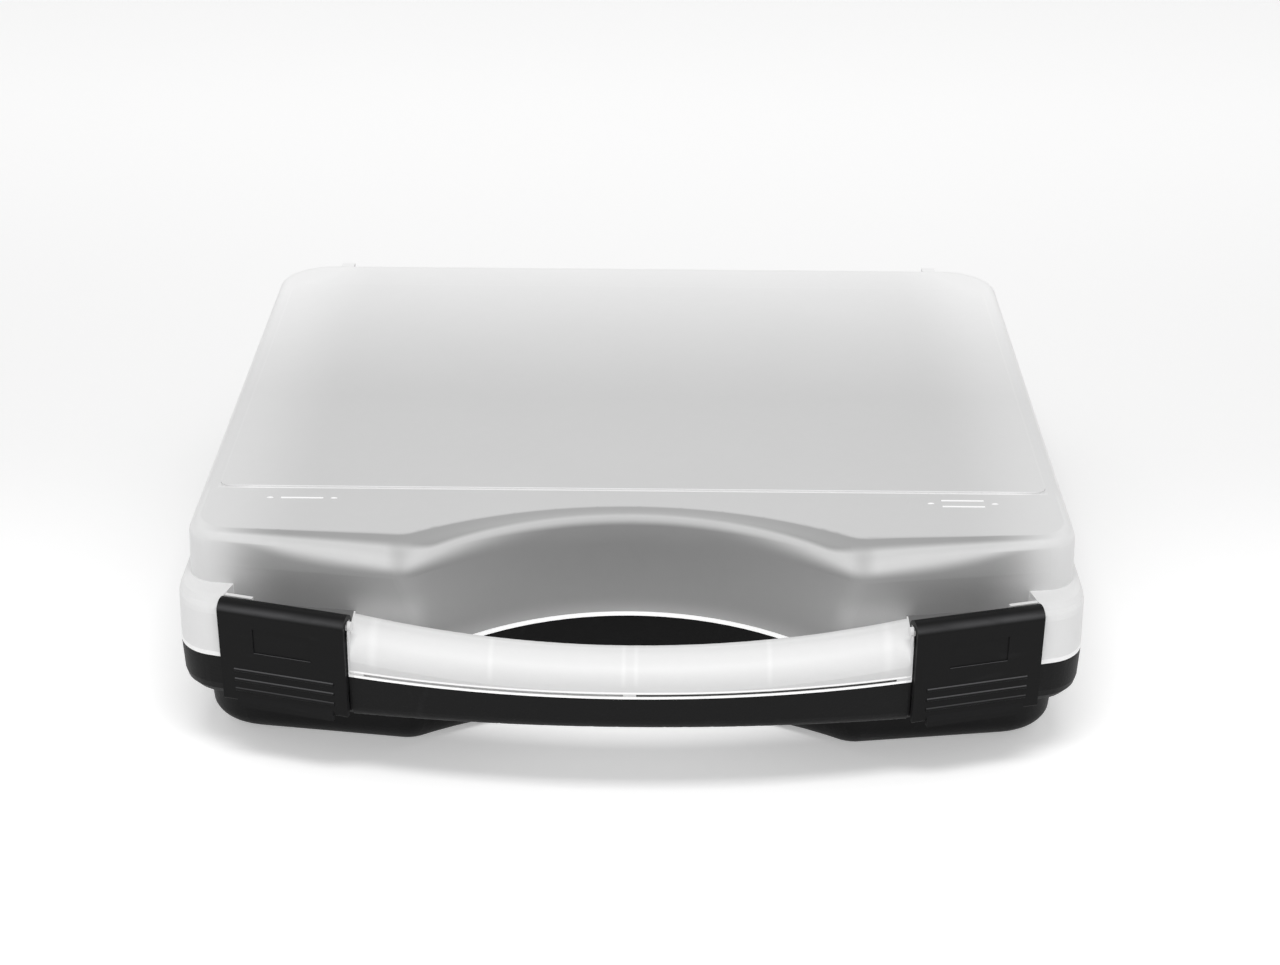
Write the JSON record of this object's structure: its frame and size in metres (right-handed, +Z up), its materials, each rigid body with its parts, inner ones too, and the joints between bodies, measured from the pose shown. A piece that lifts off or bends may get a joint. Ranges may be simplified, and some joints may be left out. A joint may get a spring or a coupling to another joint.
{
  "type": "knife case",
  "caption": "Flat plastic carrying case for knives: translucent hinged lid, black base with a foam insert, moulded handle and two snap latches.",
  "frame": {"origin": "centre of the bounding box's underside, on the surface that the closed case lies on", "axes": "+X along the handle towards the right latch, +Y from the handle to the hinges, +Z up through the lid"},
  "size_m": [0.285, 0.2672, 0.075],
  "materials": {
    "lid_plastic": "frosted natural polypropylene",
    "base_plastic": "fine grained black polypropylene",
    "latch_plastic": "satin black",
    "pin_steel": "drawn wire",
    "foam": "soft open-cell foam",
    "pale_foam": "soft convoluted foam"
  },
  "bodies": {
    "base": {"base_shell": "base_plastic", "hinge_pin_left": "pin_steel", "hinge_pin_right": "pin_steel", "base_foam": "foam", "knife_insert": "foam"},
    "lid": {"lid_shell": "lid_plastic", "lid_foam": "pale_foam"},
    "left_latch": {"latch_left": "latch_plastic"},
    "right_latch": {"latch_right": "latch_plastic"}
  },
  "joints": [
    {"name": "lid_hinge", "type": "hinge", "parent": "base", "child": "lid", "pos_m": [0, 0.1306, 0.0375], "axis": [-1, 0, 0], "range_deg": [0, 180]},
    {"name": "latch_left_hinge", "type": "hinge", "parent": "lid", "child": "left_latch", "pos_m": [-0.10658, -0.11485, 0.0545], "axis": [-0.9659, 0.2588, 0], "range_deg": [0, 95]},
    {"name": "latch_right_hinge", "type": "hinge", "parent": "lid", "child": "right_latch", "pos_m": [0.10658, -0.11485, 0.0545], "axis": [-0.9659, -0.2588, 0], "range_deg": [0, 95]}
  ]
}
